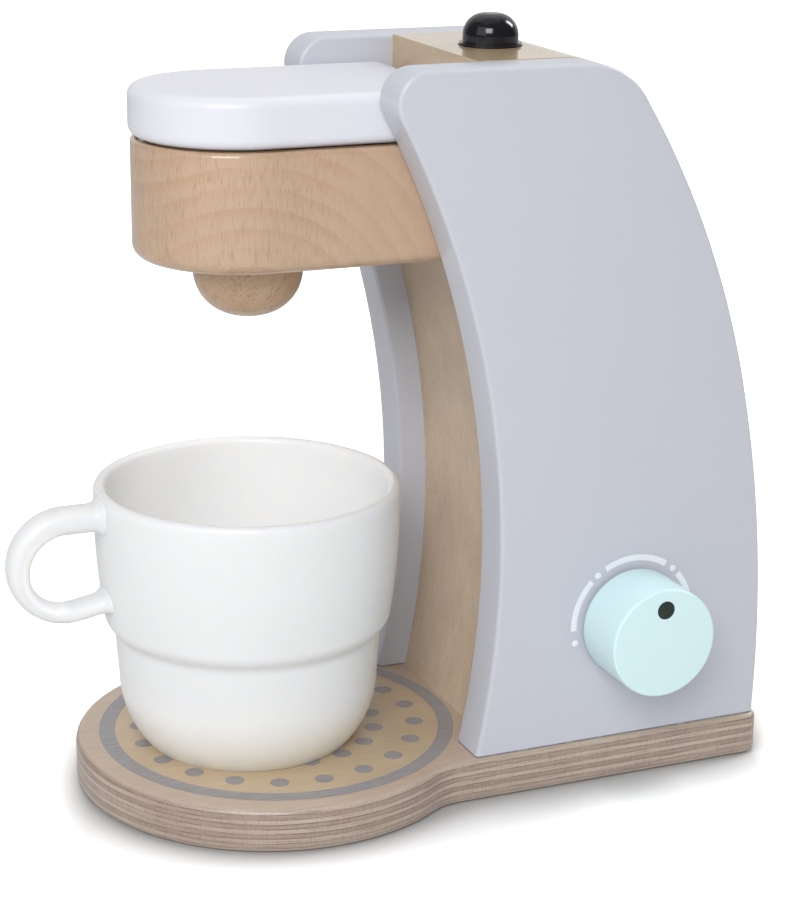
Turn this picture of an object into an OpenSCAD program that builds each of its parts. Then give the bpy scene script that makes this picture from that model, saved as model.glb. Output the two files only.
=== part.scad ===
// Toy coffee maker: a single-cup brewer of painted wood, beech and birch plywood
// with a hinged lid, a push button, a turning knob and a loose cup.
// Millimetres, +Z up, front (cup side) at -Y, knob on the +X side plate.
// Origin: centre of the underside of the base board.

/* [Base board] */
// Length of the base board from the round front to the straight rear
base_len = 184.4; // [170:0.2:210]
// Thickness of the plywood base board
base_t = 12; // [9:0.5:18]
// Radius of the round front of the base board
disc_r = 53.6; // [48:0.2:60]
// Width of the straight rear stretch of the base board
base_w = 83.6; // [82:0.2:92]
// Radius of the hollow curve between the round front and the straight sides
neck_r = 16; // [8:1:24]
// Radius of the two rear corners seen from above
base_corner_r = 4; // [3:0.5:8]
// Radius of the rounding along the edges of the base board
base_round = 1.8; // [0.5:0.1:2.5]

/* [Side plates] */
// Width over both side plates
body_w = 81; // [74:0.5:82]
// Thickness of one side plate
plate_t = 12.8; // [10:0.2:15]
// Height of the top of the side plates above the ground
body_h = 196; // [193:0.5:204]
// Y of the deepest point of the hollow front edge
waist_y = 10.7; // [6:0.1:14]
// Height of the deepest point of the hollow front edge
waist_z = 66; // [58:1:76]
// Radius of the hollow front edge
front_r = 250; // [230:5:290]
// Radius of the nose at the top of the front edge
nose_r = 8; // [5:0.5:10]
// Y of the rearmost point of the rear edge
rear_y = 90.8; // [86:0.2:91]
// Height of the rearmost point of the rear edge
rear_z = 29.6; // [24:0.2:36]
// Radius of the lower stretch of the rear edge
rear_low_r = 349.7; // [320:1:380]
// Radius of the upper stretch of the rear edge
rear_up_r = 241.3; // [225:1:260]
// Angle at which the lower rear curve hands over to the upper one
rear_turn = 13.3; // [10:0.1:16]
// Radius of the rounded corner between the rear edge and the top
rear_top_r = 20; // [12:1:26]

// Radius of the rounding along the edges of the side plates
plate_round = 2.5; // [1:0.1:4]

/* [Panels between the plates] */
// Thickness of the bent plywood panels
panel_t = 6; // [4:0.5:8]
// How far the front panel stands back from the front edge of the plates
front_setback = 8; // [4:0.5:14]
// How far the back panel stands back from the rear edge of the plates
back_setback = 1.5; // [0.5:0.5:5]
// Depth of the grooves that hold the panels
groove_depth = 2.5; // [1.5:0.5:4]
// Play of a panel in its groove on each side
groove_play = 0.1; // [0.05:0.05:0.3]
// Height of the wooden rail between the plates on the base
rail_h = 20; // [14:1:24]
// Length of the rail from front to rear
rail_len = 28; // [20:1:36]
// Y of the middle of the rail
rail_y = 52; // [46:1:58]

/* [Brewing arm and spout] */
// Y of the front of the arm
arm_front = -74.3; // [-80:0.5:-66]
// Height of the arm from its underside to its top
arm_t = 30.7; // [27:0.1:32]
// Radius of the rounding along the lower edge of the arm
arm_round = 3.5; // [2:0.1:5]
// Radius of the rounding along the upper edge of the arm
arm_top_round = 1.2; // [0.5:0.1:2]
// Y of the rear end of the arm, inside the body
arm_rear = 44; // [38:1:46]
// Radius of the pad recess in the top of the arm
pad_r = 17; // [12:0.5:20]
// Depth of the pad recess
pad_depth = 6; // [4:0.5:9]
// Y of the common axis of the spout and the pad recess
spout_y = -44.6; // [-50:0.2:-42]
// Radius of the spout where it meets the arm
spout_r = 14.3; // [11:0.1:17]
// Height of the spout below the arm
spout_h = 15.8; // [12:0.2:20]
// Radius of the rounding at the foot of the spout
spout_round = 12; // [6:0.5:12]
// Radius of the tenon that holds the spout in the arm
tenon_r = 5; // [3:0.5:7]
// Length of the tenon
tenon_len = 12; // [8:1:15]

/* [Lid] */
// Thickness of the lid
lid_t = 12.9; // [10:0.1:14]
// Y of the front of the lid
lid_front = -74.8; // [-80:0.2:-70]
// Radius of the rounding along the edges of the lid
lid_round = 2.8; // [1:0.1:4]
// Gap between the underside of the lid and the arm
lid_gap = 0.4; // [0.3:0.1:1]
// Gap between each side of the lid and the side plate
lid_side_gap = 0.4; // [0.3:0.1:1]
// Y of the hinge axis of the lid
pivot_y = 0; // [-3:0.5:0]
// End play of the lid on its hinge pins
pin_end_play = 0.3; // [0.2:0.1:0.6]
// Radius of the two steel hinge pins
pin_r = 2; // [1.5:0.1:2.5]
// Length of each hinge pin
pin_len = 16; // [12:1:18]

/* [Top block and push button] */
// Height of the top block, from the top of the arm to the top of the plates
block_h = 20; // [18:0.5:24]
// Y of the front face of the top block
block_front = 6.9; // [6.9:0.1:9]
// Y of the axis of the push button
button_y = 23; // [21:0.5:25]
// Radius of the domed push button
button_r = 7.35; // [6:0.05:8]
// Height of the dome above the top block
button_h = 8.3; // [6:0.1:10]
// Radius of the round shoulder of the dome
button_round = 5.6; // [3:0.1:6.4]
// Radius of the thin rim at the foot of the dome
rim_r = 8.2; // [8:0.05:8.8]
// Thickness of that rim
rim_t = 0.7; // [0.4:0.1:1.2]
// Height of the underside of the rim above the top block
rim_lift = 0.1; // [0:0.1:0.5]
// Radial gap around the rim in the top block
button_gap = 0.3; // [0.2:0.05:0.6]
// Thickness of the lip of the top block that the button hangs under
lip_t = 4.5; // [3:0.5:6]
// Radius of the flange at the foot of the button
flange_r = 10.4; // [9.6:0.1:11]
// Radial gap around the flange in its well
well_gap = 0.9; // [0.5:0.1:1.2]
// Thickness of the flange
flange_t = 2; // [1.5:0.1:3]
// Radius of the guide stem below the button
stem_r = 3; // [2.5:0.1:3.5]
// Travel of the button when pressed
button_travel = 4; // [2:0.5:5]
// Wire diameter of the button spring
wire_d = 1.1; // [0.8:0.1:1.4]
// Mean radius of the button spring
coil_r = 6.4; // [5.5:0.1:7.5]
// Turns of the button spring
coil_turns = 4; // [3:0.5:5]

/* [Knob] */
// Y of the knob axis
knob_y = 50.2; // [46:0.2:56]
// Height of the knob axis above the ground
knob_z = 45.4; // [42:0.2:52]
// Radius of the knob
knob_r = 15; // [12:0.5:18]
// How far the face of the knob stands out from the side plate
knob_out = 18.6; // [14:0.2:22]
// Radius of the rounding at the face of the knob
knob_round = 2.2; // [1:0.1:4]
// Radius of the dowel that the knob turns on
axle_r = 4; // [3:0.5:5]
// How deep that dowel is glued into the knob
axle_depth = 10.5; // [8:0.5:12]
// Radius of the black dot on the knob face
dot_r = 2.5; // [1.5:0.1:3]
// Distance of the dot from the knob axis
dot_out = 9.4; // [6:0.2:9.6]
// Thickness of the dot
dot_t = 1.5; // [0.8:0.1:2]
// Thickness of the washer between knob and side plate
washer_t = 0.8; // [0.5:0.1:1.2]
// Radius of that washer
washer_r = 10; // [8:0.5:12]
// Radius of the retaining disc on the inner end of the dowel
retainer_r = 8; // [7:0.5:10]
// Thickness of the retaining disc
retainer_t = 5; // [4:0.5:7]

/* [Cup] */
// Y of the axis of the cup as it stands on the base
cup_y = -45.3; // [-48:0.1:-42]
// Height of the cup
cup_h = 72.2; // [64:0.2:80]
// Outer radius of the cup just below the rim
cup_r = 40.7; // [36:0.1:42]
// Radius of the slight bulge of the upper wall seen from the side
cup_wall_r = 192; // [150:2:260]
// Height of the widest level of the upper wall above the foot
cup_wide_h = 65; // [58:1:70]
// Height where the upper wall starts to round in
cup_turn_h = 37.4; // [34:0.2:42]
// Radius of that rounding
cup_turn_r = 10; // [8:0.5:12]
// Width of the fine mould line where that rounding starts
cup_seam = 0.02; // [0.01:0.01:0.1]
// Height of the crease between the upper and the lower wall
cup_crease_h = 30; // [28.5:0.1:31.5]
// Outer radius of the lower wall at the crease
cup_low_r = 35.5; // [33:0.1:36]
// Radius of the large rounding that leads to the foot
cup_foot_round = 27.4; // [22:0.2:30]
// Height where that rounding starts
cup_foot_h = 17; // [13:0.5:20]
// Wall thickness of the cup
cup_wall = 3.2; // [2:0.1:4]
// Radius of the shallow hollow under the foot
cup_foot_hollow_r = 24; // [16:1:26]
// Mean radius of the handle bow
handle_r = 12.7; // [11:0.1:15]
// Distance of the centre of the handle bow from the cup axis
handle_out = 49.7; // [47:0.1:54]
// Height of the middle of the handle above the foot
handle_h = 54.2; // [50:0.2:56]
// Thickness of the handle seen from the side
handle_t = 6.6; // [5:0.1:8]
// Width of the handle seen from the front
handle_w = 9; // [7:0.1:12]

/* [Dowels and screws] */
// Radius of the glued beech dowels
dowel_r = 4; // [3:0.5:5]
// Length of the glued beech dowels
dowel_len = 24; // [18:1:24]
// How deep the dowels of the arm reach into the side plates
dowel_in_plate = 8; // [5:0.5:9]
// Y of the front and rear dowel that hold the arm
dowel_ys = [4, 28]; // [0:1:29]
// Y of the dowels between arm and top block
block_dowel_y = 38; // [36:1:39]
// Distance of those dowels from the middle
block_dowel_x = 18; // [15:1:21]
// Shank radius of the countersunk screws
screw_r = 1.9; // [1.5:0.1:2.2]
// Head radius of the countersunk screws
screw_head_r = 3.9; // [3.2:0.1:4.4]
// Length of the screws
screw_len = 34; // [24:1:40]
// Y of the screws that go up into each side plate
screw_ys = [24, 76]; // [16:1:84]
// Distance of the rail screws from the middle
rail_screw_x = 14; // [8:1:20]

/* [Clearances] */
// Play of a glued dowel, pin or tenon in its hole, on the radius
glue_play = 0.03; // [0.01:0.01:0.05]
// Running clearance of a turning or sliding shaft, on the radius
run_play = 0.07; // [0.03:0.01:0.1]
// Small gap that keeps faces of moving pieces apart
face_gap = 0.3; // [0.2:0.05:0.4]

/* [Hidden] */
// fine circles, and extra fine ones for the large radii of the profiles
fine = 96;
extra = 720;
// larger than the part, for cutting regions
big = 600;
// run-through of a cutting body past a face
over = 1;

inner_w = body_w - 2 * plate_t;
half_in = inner_w / 2;
half_out = body_w / 2;
disc_y = disc_r - base_len / 2;
arm_top = body_h - block_h;
arm_z = arm_top - arm_t;
lid_bottom = arm_top + lid_gap;
lid_top = lid_bottom + lid_t;
pivot_z = lid_bottom + lid_t / 2;
lid_half = half_in - lid_side_gap;

// centre of the hollow front curve
front_c = [waist_y - front_r, waist_z];
// centre of the nose, touching the top line and the hollow curve
nose_z = body_h - nose_r;
nose_c = [front_c[0] + sqrt(pow(front_r + nose_r, 2) - pow(nose_z - waist_z, 2)), nose_z];
// centres of the lower and the upper rear curve, tangent to each other
low_c = [rear_y - rear_low_r, rear_z];
up_c = low_c + (rear_low_r - rear_up_r) * [cos(rear_turn), sin(rear_turn)];
// centre of the rear top corner, touching the top line and the upper rear curve
top_z = body_h - rear_top_r;
top_c = [up_c[0] + sqrt(pow(rear_up_r - rear_top_r, 2) - pow(top_z - up_c[1], 2)), top_z];

// hollow curves of the neck between disc and straight sides
neck_x = base_w / 2 + neck_r;
neck_y = disc_y + sqrt(pow(disc_r + neck_r, 2) - pow(neck_x, 2));

// points along an arc, and a list without its first entry
function arc_points(c, r, a0, a1, n) =
    [for (i = [0 : n]) let (a = a0 + (a1 - a0) * i / n) c + r * [cos(a), sin(a)]];
function rest(list) = [for (i = [1 : len(list) - 1]) list[i]];

// depth and inset of each layer of a board from lo to hi whose edges are rounded by q
function layers(lo, hi, q) =
    let (n = 4, a = 90 / n)
    concat([for (i = [0 : n]) [lo + q * (1 - cos(a * i)), q * (1 - sin(a * i))]],
           [for (i = [n : -1 : 0]) [hi - q * (1 - cos(a * i)), q * (1 - sin(a * i))]]);

// board with rounded edges, from one ring of outline points per layer; each ring runs
// up one side and down the other with as many points, so rungs across it close the ends
module rounded_board(rings) {
    n = len(rings[0]);
    last = len(rings) - 1;
    sides = [for (k = [0 : last - 1], i = [0 : n - 1])
        let (j = (i + 1) % n)
        [k * n + i, (k + 1) * n + i, (k + 1) * n + j, k * n + j]];
    low = [for (i = [0 : n / 2 - 2]) [i, i + 1, n - 2 - i, n - 1 - i]];
    high = [for (f = low) [for (k = [3 : -1 : 0]) last * n + f[k]]];
    polyhedron(points = [for (r = rings) each r], faces = concat(sides, low, high),
               convexity = 4);
}

// a piece drawn in the YZ plane, given its width along X from x0 to x1
module across(x0, x1) {
    translate([x0, 0, 0])
        rotate([90, 0, 90])
            linear_extrude(x1 - x0)
                children();
}

// a round bar or bore along X from x0 to x1
module bar_x(x0, x1, y, z, r) {
    translate([x0, y, z])
        rotate([0, 90, 0])
            cylinder(r = r, h = x1 - x0, $fn = fine);
}

// outer end of a wedge-shaped corner that a rounding replaces
module corner_cut(c, r, dir_a, dir_b) {
    difference() {
        translate(c)
            polygon([[0, 0], big * dir_a, 2 * big * (dir_a + dir_b), big * dir_b]);
        translate(c)
            circle(r = r, $fn = fine);
    }
}

// everything in front of the rear curve
module rear_region() {
    intersection() {
        translate(low_c)
            circle(r = rear_low_r, $fn = extra);
        translate(low_c)
            rotate(rear_turn - 90)
                square([big, big]);
    }
    intersection() {
        translate(up_c)
            circle(r = rear_up_r, $fn = extra);
        translate(low_c)
            rotate(rear_turn)
                square([big, big]);
    }
}

// strip along the rear curve between two distances in front of it
module rear_band(near, far) {
    intersection() {
        difference() {
            translate(low_c)
                circle(r = rear_low_r - near, $fn = extra);
            translate(low_c)
                circle(r = rear_low_r - far, $fn = extra);
        }
        translate(low_c)
            rotate(rear_turn - 90)
                square([big, big]);
    }
    intersection() {
        difference() {
            translate(up_c)
                circle(r = rear_up_r - near, $fn = extra);
            translate(up_c)
                circle(r = rear_up_r - far, $fn = extra);
        }
        translate(low_c)
            rotate(rear_turn)
                square([big, big]);
    }
}

// side view of the body: hollow front edge, nose, flat top and bulging rear
module side_profile() {
    to_front = (front_c - nose_c) / (front_r + nose_r);
    to_rear = (top_c - up_c) / (rear_up_r - rear_top_r);
    difference() {
        intersection() {
            rear_region();
            translate([front_c[0], base_t])
                square([big, body_h - base_t]);
        }
        translate(front_c)
            circle(r = front_r, $fn = extra);
        corner_cut(nose_c, nose_r, to_front, [0, 1]);
        corner_cut(top_c, rear_top_r, to_rear, [0, 1]);
    }
}

// side view of a plate as points, drawn in by d all round except at the foot
function side_outline(d) =
    let (low_a = asin((base_t - rear_z) / (rear_low_r - d)),
         rear_a = atan2(top_c[1] - up_c[1], top_c[0] - up_c[0]),
         nose_a = atan2(front_c[1] - nose_c[1], front_c[0] - nose_c[0]) + 360,
         foot_a = asin((base_t - waist_z) / (front_r + d)))
    concat(arc_points(low_c, rear_low_r - d, low_a, rear_turn, 10),
           rest(arc_points(up_c, rear_up_r - d, rear_turn, rear_a, 13)),
           rest(arc_points(top_c, rear_top_r - d, rear_a, 90, 13)),
           arc_points(nose_c, nose_r - d, 90, nose_a, 12),
           rest(arc_points(front_c, front_r + d, nose_a - 180, foot_a, 24)));

// side view of the bent front panel, thickened by play on both faces
module front_panel_profile(play) {
    intersection() {
        difference() {
            translate(front_c)
                circle(r = front_r + front_setback + panel_t + play, $fn = extra);
            translate(front_c)
                circle(r = front_r + front_setback - play, $fn = extra);
        }
        translate([0, base_t])
            square([big, arm_z - base_t]);
    }
}

// side view of the bent back panel, thickened by play on both faces
module back_panel_profile(play) {
    intersection() {
        rear_band(back_setback - play, back_setback + panel_t + play);
        translate([0, base_t])
            square([big, arm_top - base_t]);
    }
}

// plan of the base board as points, drawn in by d all round: up the right side from
// the front to the rear, and down the left side
function base_outline(d) =
    let (corner = [base_w / 2 - base_corner_r, base_len / 2 - base_corner_r],
         neck_a = atan2(neck_y - disc_y, neck_x),
         right = concat(arc_points([0, disc_y], disc_r - d, -89, neck_a, 34),
                        rest(arc_points([neck_x, neck_y], neck_r + d, 180 + neck_a, 180, 6)),
                        arc_points(corner, base_corner_r - d, 0, 90, 6)))
    concat(right, [for (i = [len(right) - 1 : -1 : 0]) [-right[i][0], right[i][1]]]);

// countersunk screw pointing up from the underside, grown by play
module screw_shape(play) {
    sink = 0.4;
    head_h = screw_head_r - screw_r;
    translate([0, 0, sink - play])
        cylinder(r = screw_head_r + play, h = 0.6 + play, $fn = fine);
    translate([0, 0, sink + 0.6])
        cylinder(r1 = screw_head_r + play, r2 = screw_r + play, h = head_h, $fn = fine);
    translate([0, 0, sink + 0.6 + head_h])
        cylinder(r = screw_r + play, h = screw_len - head_h - 0.6, $fn = fine);
}

// open mouth under a recessed screw head
module screw_mouth() {
    translate([0, 0, -over])
        cylinder(r = screw_head_r + glue_play, h = over + 0.5, $fn = fine);
}

module at_screws() {
    for (s = [-1, 1], y = screw_ys)
        translate([s * (half_out - plate_t / 2), y, 0])
            children();
    for (s = [-1, 1])
        translate([s * rail_screw_x, rail_y, 0])
            children();
}

module base_board() {
    color("#d9b98a")
        difference() {
            rounded_board([for (l = layers(0, base_t, base_round))
                [for (p = base_outline(l[1])) [p[0], p[1], l[0]]]]);
            at_screws() {
                screw_shape(glue_play);
                screw_mouth();
            }
        }
}

// dowels that join the arm to the plates, one row on each side
module arm_dowel_set(play) {
    mid = half_in + dowel_in_plate - dowel_len / 2;
    for (s = [-1, 1], y = dowel_ys)
        bar_x(s * mid - dowel_len / 2 - play, s * mid + dowel_len / 2 + play,
              y, arm_z + arm_t / 2, dowel_r + play);
}

// pins that carry the lid, half in the plate and half in the lid;
// play widens them and reach lengthens them at both ends
module hinge_pin_set(play, reach) {
    mid = half_in - lid_side_gap / 2;
    for (s = [-1, 1])
        bar_x(s * mid - pin_len / 2 - reach, s * mid + pin_len / 2 + reach,
              pivot_y, pivot_z, pin_r + play);
}

// one side plate, drawn on the side s (-1 left, 1 right)
module side_plate(s) {
    x0 = s > 0 ? half_in : -half_out;
    inner = s * half_in;
    color("#c9cad3")
        difference() {
            rounded_board([for (l = layers(x0, x0 + plate_t, plate_round))
                [for (p = side_outline(l[1])) [l[0], p[0], p[1]]]]);
            // grooves for the bent panels
            across(inner - groove_depth, inner + groove_depth) {
                front_panel_profile(groove_play);
                back_panel_profile(groove_play);
            }
            arm_dowel_set(glue_play);
            hinge_pin_set(glue_play, glue_play);
            at_screws()
                screw_shape(glue_play);
            if (s > 0)
                bar_x(half_in - over, half_out + over, knob_y, knob_z, axle_r + run_play);
        }
}

module side_plate_left() {
    side_plate(-1);
}

module side_plate_right() {
    side_plate(1);
}

module front_panel() {
    reach = half_in + groove_depth - groove_play;
    color("#b89a72")
        across(-reach, reach)
            front_panel_profile(0);
}

module back_panel() {
    reach = half_in + groove_depth - groove_play;
    color("#b89a72")
        across(-reach, reach)
            back_panel_profile(0);
}

module base_rail() {
    color("#d8b68c")
        difference() {
            translate([-half_in, rail_y - rail_len / 2, base_t])
                cube([inner_w, rail_len, rail_h]);
            at_screws()
                screw_shape(glue_play);
        }
}

// half cross-section of a board with rounded edges: half width w, thickness t
module board_half(w, t, q_low, q_top) {
    square([w - q_low, t - q_top]);
    translate([0, q_low])
        square([w, t - q_low - q_top]);
    square([w - max(q_low, q_top), t]);
    translate([w - q_low, q_low])
        circle_quarter(q_low, -1);
    translate([w - q_top, t - q_top])
        circle_quarter(q_top, 1);
}

// quarter circle at the outer low (-1) or outer top (1) corner
module circle_quarter(q, up) {
    intersection() {
        circle(r = q, $fn = fine);
        translate([0, up > 0 ? 0 : -q])
            square([q, q]);
    }
}

// tongue with straight sides, a half-round front and rounded edges
module tongue(half, front, rear, t, q_low, q_top) {
    translate([0, front + half, 0])
        rotate_extrude($fn = 2 * fine)
            board_half(half, t, q_low, q_top);
    translate([0, rear, 0])
        rotate([90, 0, 0])
            linear_extrude(rear - front - half) {
                board_half(half, t, q_low, q_top);
                mirror([1, 0])
                    board_half(half, t, q_low, q_top);
            }
}

module brew_arm() {
    color("#d2a97c")
        difference() {
            translate([0, 0, arm_z])
                tongue(half_in, arm_front, arm_rear, arm_t, arm_round, arm_top_round);
            // recess for a coffee pad under the lid
            translate([0, spout_y, arm_top - pad_depth])
                cylinder(r = pad_r, h = pad_depth + over, $fn = fine);
            // hole for the spout tenon
            translate([0, spout_y, arm_z - over])
                cylinder(r = tenon_r + glue_play, h = tenon_len + over + 0.5, $fn = fine);
            // guide hole for the stem of the push button
            translate([0, button_y, stem_hole_z])
                cylinder(r = stem_r + run_play, h = arm_top - stem_hole_z + over, $fn = fine);
            arm_dowel_set(glue_play);
            block_dowel_set(glue_play);
        }
}

module spout() {
    color("#c79d70")
        rotate_about_spout() {
            difference() {
                union() {
                    square([spout_r - spout_round, spout_h]);
                    translate([0, spout_round])
                        square([spout_r, spout_h - spout_round]);
                    intersection() {
                        translate([spout_r - spout_round, spout_round])
                            circle(r = spout_round, $fn = fine);
                        square([spout_r, spout_round]);
                    }
                }
                translate([-big, -big])
                    square([big, 2 * big]);
            }
            translate([0, spout_h - over])
                square([tenon_r, tenon_len + over]);
        }
}

module rotate_about_spout() {
    translate([0, spout_y, arm_z - spout_h])
        rotate_extrude($fn = fine)
            children();
}

module arm_dowels() {
    color("#dcbf95")
        arm_dowel_set(0);
}

// upright dowels between arm and top block
module block_dowel_set(play) {
    for (s = [-1, 1])
        translate([s * block_dowel_x, block_dowel_y, arm_top - dowel_len / 2 - play])
            cylinder(r = dowel_r + play, h = dowel_len + 2 * play, $fn = fine);
}

// heights in the button well
flange_top = body_h - lip_t - face_gap;
flange_z = flange_top - flange_t;
stem_len = flange_z - arm_top + 2 * button_travel;
stem_hole_z = flange_z - stem_len - button_travel - 2;

module top_block() {
    color("#cfa67a")
        difference() {
            across(-half_in, half_in)
                intersection() {
                    side_profile();
                    translate([block_front, arm_top])
                        square([big, body_h - arm_top]);
                }
            // hole around the dome and the wider well for flange and spring
            translate([0, button_y, arm_top - over])
                cylinder(r = rim_r + button_gap, h = body_h - arm_top + 2 * over, $fn = fine);
            translate([0, button_y, arm_top - over])
                cylinder(r = flange_r + well_gap, h = body_h - lip_t - arm_top + over, $fn = fine);
            block_dowel_set(glue_play);
        }
}

module block_dowels() {
    color("#dcbf95")
        block_dowel_set(0);
}

module lid() {
    color("#f1f2f5")
        difference() {
            union() {
                translate([0, 0, lid_bottom])
                    tongue(lid_half, lid_front, pivot_y, lid_t, lid_round, lid_round);
                // rear edge rolled round the hinge axis
                translate([0, pivot_y, pivot_z])
                    rotate([0, 90, 0])
                        rotate_extrude($fn = 2 * fine)
                            rotate(-90)
                                rolled_half();
            }
            hinge_pin_set(run_play, pin_end_play);
        }
}

// half of the lid's cross-section on one side of its middle plane
module rolled_half() {
    intersection() {
        translate([0, -lid_t / 2]) {
            board_half(lid_half, lid_t, lid_round, lid_round);
            mirror([1, 0])
                board_half(lid_half, lid_t, lid_round, lid_round);
        }
        translate([-big, 0])
            square([2 * big, big]);
    }
}

module lid_hinge_pins() {
    color("#b9bcc0")
        hinge_pin_set(0, 0);
}

module push_button() {
    straight = button_h - button_round;
    color("#18181c")
        translate([0, button_y, 0])
            rotate_extrude($fn = fine) {
                // stem, flange and straight part of the button
                translate([0, flange_z - stem_len])
                    square([stem_r, stem_len + over]);
                translate([0, flange_z])
                    square([flange_r, flange_t]);
                translate([0, flange_z])
                    square([button_r, body_h + straight - flange_z]);
                // thin rim that hides the edge of the hole
                translate([0, body_h + rim_lift])
                    square([rim_r, rim_t]);
                // dome: a flat crown with a generous round shoulder
                dome_r = button_round;
                translate([0, body_h + straight])
                    square([button_r - dome_r, dome_r]);
                intersection() {
                    translate([button_r - dome_r, body_h + straight])
                        circle(r = dome_r, $fn = fine);
                    translate([0, body_h + straight - over])
                        square([button_r, dome_r + over]);
                }
            }
}

// helical spring between the arm and the flange of the button
module button_spring() {
    z0 = arm_top + face_gap + wire_d / 2;
    z1 = flange_z - face_gap - wire_d / 2;
    per_turn = 24;
    sides = 8;
    steps = round(coil_turns * per_turn);
    function ring(i) =
        let (a = 360 * i / per_turn, z = z0 + (z1 - z0) * i / steps)
        [for (k = [0 : sides - 1])
            let (b = 360 * k / sides, r = coil_r + wire_d / 2 * cos(b))
            [r * cos(a), button_y + r * sin(a), z + wire_d / 2 * sin(b)]];
    pts = [for (i = [0 : steps]) each ring(i)];
    walls = [for (i = [0 : steps - 1], k = [0 : sides - 1])
        let (n = (k + 1) % sides)
        [i * sides + k, i * sides + n, (i + 1) * sides + n, (i + 1) * sides + k]];
    cap_a = [for (k = [sides - 1 : -1 : 0]) k];
    cap_b = [for (k = [0 : sides - 1]) steps * sides + k];
    color("#a9adb2")
        polyhedron(points = pts, faces = concat(walls, [cap_a, cap_b]), convexity = 6);
}

// where the knob starts and ends along X, and how deep its dowel goes
knob_x0 = half_out + washer_t + face_gap;
knob_x1 = half_out + knob_out;
axle_x1 = knob_x0 + axle_depth;
axle_x0 = half_in - face_gap - retainer_t;
dot_c = [knob_y, knob_z + dot_out];

module knob() {
    color("#cfe9ea")
        difference() {
            translate([knob_x0, knob_y, knob_z])
                rotate([0, 90, 0])
                    rotate_extrude($fn = 2 * fine) {
                        square([knob_r - knob_round, knob_x1 - knob_x0]);
                        square([knob_r, knob_x1 - knob_x0 - knob_round]);
                        translate([knob_r - knob_round, knob_x1 - knob_x0 - knob_round])
                            circle(r = knob_round, $fn = fine);
                    }
            bar_x(knob_x0 - over, axle_x1 + glue_play, knob_y, knob_z, axle_r + glue_play);
            bar_x(knob_x1 - dot_t, knob_x1 + over, dot_c[0], dot_c[1], dot_r + glue_play);
        }
}

module knob_dot() {
    color("#1b1b1d")
        bar_x(knob_x1 - dot_t, knob_x1, dot_c[0], dot_c[1], dot_r);
}

module knob_axle() {
    color("#dcbf95")
        bar_x(axle_x0, axle_x1, knob_y, knob_z, axle_r);
}

module knob_washer() {
    color("#e8e8e4")
        difference() {
            bar_x(half_out, half_out + washer_t, knob_y, knob_z, washer_r);
            bar_x(half_out - over, half_out + washer_t + over, knob_y, knob_z, axle_r + face_gap);
        }
}

module knob_retainer() {
    color("#d8b68c")
        difference() {
            bar_x(axle_x0, axle_x0 + retainer_t, knob_y, knob_z, retainer_r);
            bar_x(axle_x0 - over, axle_x0 + retainer_t + over, knob_y, knob_z, axle_r + glue_play);
        }
}

// half section of the cup, moved inwards by inset, from the foot to the lip centre
module cup_section(inset) {
    lip = cup_wall / 2;
    top = cup_h - lip;
    wide_dz = cup_wide_h - cup_turn_h;
    turn_x = cup_r - cup_wall_r + sqrt(pow(cup_wall_r, 2) - pow(wide_dz, 2)) - cup_seam;
    foot_x = cup_low_r - 0.6;
    // upper wall with a slight bulge
    intersection() {
        translate([cup_r - cup_wall_r, cup_wide_h])
            circle(r = cup_wall_r - inset, $fn = extra);
        translate([0, cup_turn_h])
            square([cup_r + over, top - cup_turn_h]);
    }
    // rounding towards the crease
    intersection() {
        translate([turn_x - cup_turn_r, cup_turn_h])
            circle(r = cup_turn_r - inset, $fn = fine);
        translate([0, cup_crease_h])
            square([cup_r, cup_turn_h - cup_crease_h]);
    }
    translate([0, cup_crease_h])
        square([cup_low_r - inset, cup_turn_h - cup_crease_h]);
    // lower wall and large foot rounding
    polygon([[0, cup_foot_h], [foot_x - inset, cup_foot_h],
             [cup_low_r - inset, cup_crease_h], [0, cup_crease_h]]);
    intersection() {
        translate([foot_x - cup_foot_round, cup_foot_h])
            circle(r = cup_foot_round - inset, $fn = 2 * fine);
        translate([0, inset])
            square([cup_r, cup_foot_h - inset]);
    }
}

module handle_section() {
    for (s = [-1, 1])
        translate([handle_r, s * (handle_w - handle_t) / 2])
            circle(r = handle_t / 2, $fn = fine);
    translate([handle_r - handle_t / 2, -(handle_w - handle_t) / 2])
        square([handle_t, handle_w - handle_t]);
}

module cup() {
    arm_from = cup_r - cup_wall * 0.6;
    color("#f3f1ea")
        translate([0, cup_y, base_t])
            difference() {
                union() {
                    rotate_extrude($fn = 2 * fine)
                        cup_section(0);
                    // rounded lip
                    translate([0, 0, cup_h - cup_wall / 2])
                        rotate_extrude($fn = 2 * fine)
                            translate([cup_r - cup_wall / 2, 0])
                                circle(r = cup_wall / 2, $fn = fine);
                    // handle bow and the two arms that reach the wall
                    translate([0, -handle_out, handle_h])
                        rotate([0, -90, 0])
                            rotate([0, 0, 180])
                                rotate_extrude(angle = 180, $fn = fine)
                                    handle_section();
                    for (s = [-1, 1])
                        translate([0, -handle_out, handle_h])
                            rotate([-90, 0, 0])
                                linear_extrude(handle_out - arm_from + (s < 0 ? 1.6 : 0))
                                    rotate(-90 * s)
                                        handle_section();
                }
                // hollow inside
                difference() {
                    rotate_extrude($fn = 2 * fine)
                        union() {
                            cup_section(cup_wall);
                            translate([0, cup_h - cup_wall / 2 - over])
                                square([cup_r - cup_wall, cup_wall + 2 * over]);
                        }
                }
                // hollow under the foot
                translate([0, 0, -over])
                    cylinder(r = cup_foot_hollow_r, h = over + 0.8, $fn = 2 * fine);
            }
}

module base_screws() {
    color("#b4b7ba")
        at_screws()
            screw_shape(0);
}

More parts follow.
